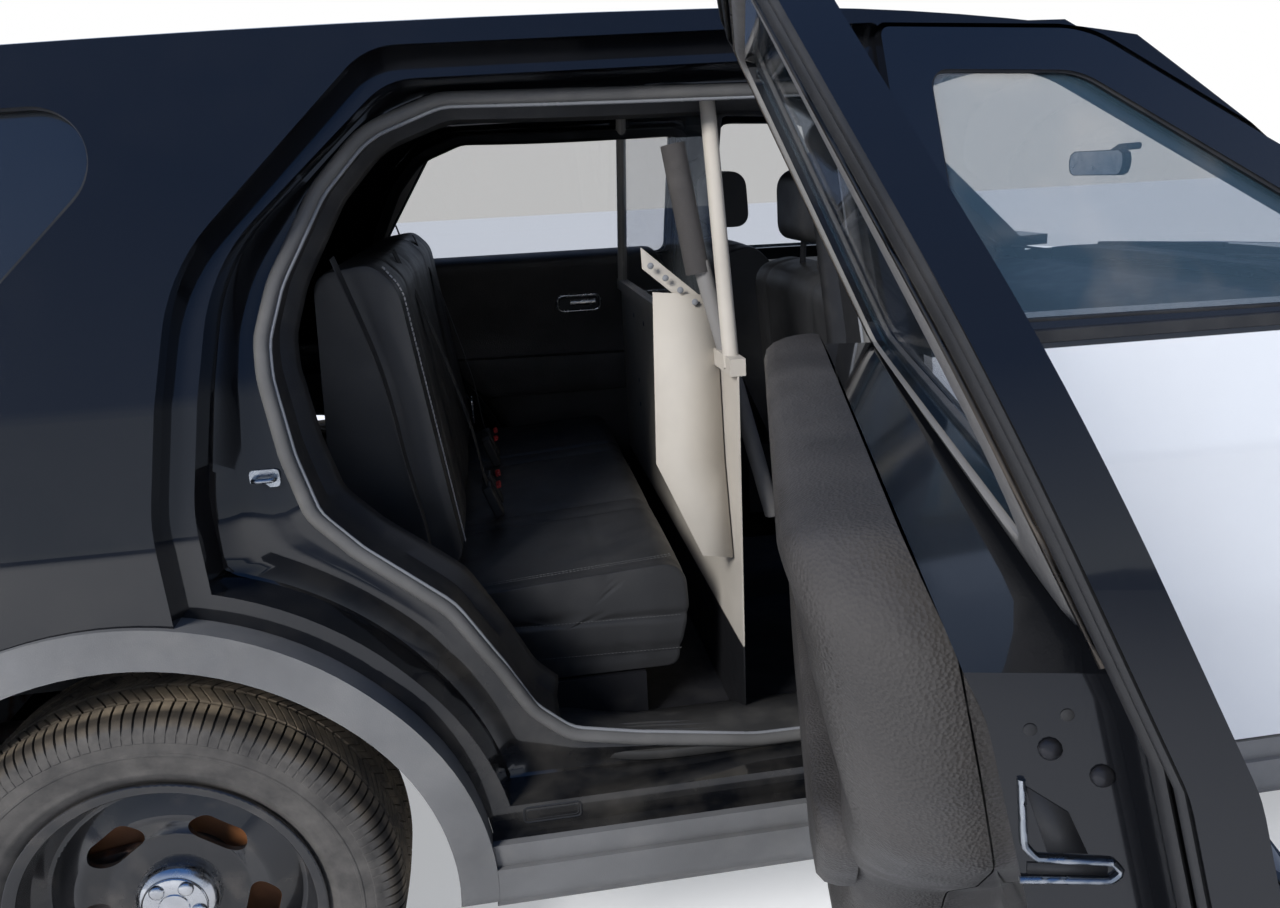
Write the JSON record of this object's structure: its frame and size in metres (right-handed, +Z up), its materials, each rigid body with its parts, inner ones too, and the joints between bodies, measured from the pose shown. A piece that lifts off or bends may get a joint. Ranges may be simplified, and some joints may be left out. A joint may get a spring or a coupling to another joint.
{
  "type": "police sport utility vehicle",
  "caption": "Mid-size black and white police sport utility vehicle with its rear right door open on a caged rear seat; doors, hood, liftgate, wheels and steering move.",
  "frame": {"origin": "On the ground, on the centre plane, midway between the front and rear axles.", "axes": "+X forward, +Y to the vehicle's left, +Z up."},
  "size_m": [5.0087, 3.2006, 1.7578],
  "materials": {
    "black_paint": "gloss black paint with fine scratches",
    "white_paint": "gloss white paint below the belt, black window frame",
    "black_bumper": "painted plastic",
    "grille_plastic": "satin black",
    "lamp_plastic": "clear and red lens",
    "grey_cladding": "weathered grey grain",
    "tinted_glass": "tinted",
    "clear_pane": "scuffed clear plastic",
    "trim_plastic": "dark warm grey grain",
    "mirror_plastic": "black",
    "tyre_rubber": "dusty",
    "wheel_steel": "gloss black enamel",
    "suspension_iron": "dusty and lightly rusted",
    "engine_metal": "cast",
    "exhaust_steel": "stained",
    "tank_plastic": "moulded",
    "seat_vinyl": "black vinyl with light stitching",
    "partition_paint": "beige enamel",
    "dash_plastic": "grained black",
    "floor_paint": "black underbody and dark floor covering"
  },
  "bodies": {
    "body": {"floor_pan": "floor_paint", "front_structure": "floor_paint", "body_side_right": "black_paint", "body_side_left": "black_paint", "roof_panel": "black_paint", "front_fenders": "black_paint", "bumpers": "black_bumper", "grille": "grille_plastic", "lamps": "lamp_plastic", "lower_cladding": "grey_cladding", "fixed_glass": "tinted_glass", "subframes": "suspension_iron", "engine_block": "engine_metal", "exhaust": "exhaust_steel", "fuel_tank": "tank_plastic", "driveline": "suspension_iron", "front_seats": "seat_vinyl", "rear_seat_cushion": "seat_vinyl", "rear_seat_back": "seat_vinyl", "partition_frame": "partition_paint", "partition_pane": "clear_pane", "dashboard": "dash_plastic"},
    "door_front_right": {"front_door_right": "white_paint", "front_door_right_glass": "tinted_glass", "mirror_right": "mirror_plastic"},
    "door_front_left": {"front_door_left": "white_paint", "front_door_left_glass": "tinted_glass", "mirror_left": "mirror_plastic"},
    "door_rear_right": {"rear_door_right": "black_paint", "rear_door_right_glass": "tinted_glass", "rear_door_right_trim": "trim_plastic"},
    "door_rear_left": {"rear_door_left": "black_paint", "rear_door_left_glass": "tinted_glass", "rear_door_left_trim": "trim_plastic"},
    "hood": {"hood": "black_paint"},
    "liftgate": {"liftgate": "black_paint", "liftgate_glass": "tinted_glass"},
    "knuckle_right": {"knuckle_front_right": "suspension_iron"},
    "knuckle_left": {"knuckle_front_left": "suspension_iron"},
    "wheel_front_right": {"tyre_front_right": "tyre_rubber", "wheel_front_right": "wheel_steel"},
    "wheel_front_left": {"tyre_front_left": "tyre_rubber", "wheel_front_left": "wheel_steel"},
    "wheel_rear_right": {"tyre_rear_right": "tyre_rubber", "wheel_rear_right": "wheel_steel"},
    "wheel_rear_left": {"tyre_rear_left": "tyre_rubber", "wheel_rear_left": "wheel_steel"},
    "steering_wheel": {"steering_wheel": "dash_plastic"}
  },
  "joints": [
    {"name": "steer_right", "type": "hinge", "parent": "body", "child": "knuckle_right", "pos_m": [1.43, -0.775, 0.215], "axis": [0, 0.2924, 0.9563], "range_deg": [-30, 30]},
    {"name": "wheel_front_right_spin", "type": "hinge", "parent": "knuckle_right", "child": "wheel_front_right", "pos_m": [1.43, -0.851, 0.3635], "axis": [0, 1, 0], "continuous": true},
    {"name": "wheel_rear_right_spin", "type": "hinge", "parent": "body", "child": "wheel_rear_right", "pos_m": [-1.43, -0.851, 0.3635], "axis": [0, 1, 0], "continuous": true},
    {"name": "steer_left", "type": "hinge", "parent": "body", "child": "knuckle_left", "pos_m": [1.43, 0.775, 0.215], "axis": [0, -0.2924, 0.9563], "range_deg": [-30, 30]},
    {"name": "wheel_front_left_spin", "type": "hinge", "parent": "knuckle_left", "child": "wheel_front_left", "pos_m": [1.43, 0.851, 0.3635], "axis": [0, 1, 0], "continuous": true},
    {"name": "wheel_rear_left_spin", "type": "hinge", "parent": "body", "child": "wheel_rear_left", "pos_m": [-1.43, 0.851, 0.3635], "axis": [0, 1, 0], "continuous": true},
    {"name": "steering_wheel_turn", "type": "hinge", "parent": "body", "child": "steering_wheel", "pos_m": [0.4, 0.38, 0.985], "axis": [-0.9063, 0, 0.4226], "range_deg": [-480, 480]},
    {"name": "door_front_right_hinge", "type": "hinge", "parent": "body", "child": "door_front_right", "pos_m": [0.883, -0.978, 0.9], "axis": [0, 0, 1], "range_deg": [0, 70]},
    {"name": "door_front_left_hinge", "type": "hinge", "parent": "body", "child": "door_front_left", "pos_m": [0.883, 0.978, 0.9], "axis": [0, 0, -1], "range_deg": [0, 70]},
    {"name": "door_rear_right_hinge", "type": "hinge", "parent": "body", "child": "door_rear_right", "pos_m": [-0.2155, -0.978, 0.9], "axis": [0, 0, 1], "range_deg": [-75, 2]},
    {"name": "door_rear_left_hinge", "type": "hinge", "parent": "body", "child": "door_rear_left", "pos_m": [-0.2155, 0.978, 0.9], "axis": [0, 0, -1], "range_deg": [0, 77]},
    {"name": "hood_hinge", "type": "hinge", "parent": "body", "child": "hood", "pos_m": [1.16, 0, 1.152], "axis": [0, -1, 0], "range_deg": [0, 50]},
    {"name": "liftgate_hinge", "type": "hinge", "parent": "body", "child": "liftgate", "pos_m": [-2.316, 0, 1.676], "axis": [0, 1, 0], "range_deg": [0, 80]}
  ],
  "couplings": [
    {"joint": "steer_right", "follows": "steer_left", "ratio": 1},
    {"joint": "steering_wheel_turn", "follows": "steer_left", "ratio": 16}
  ]
}
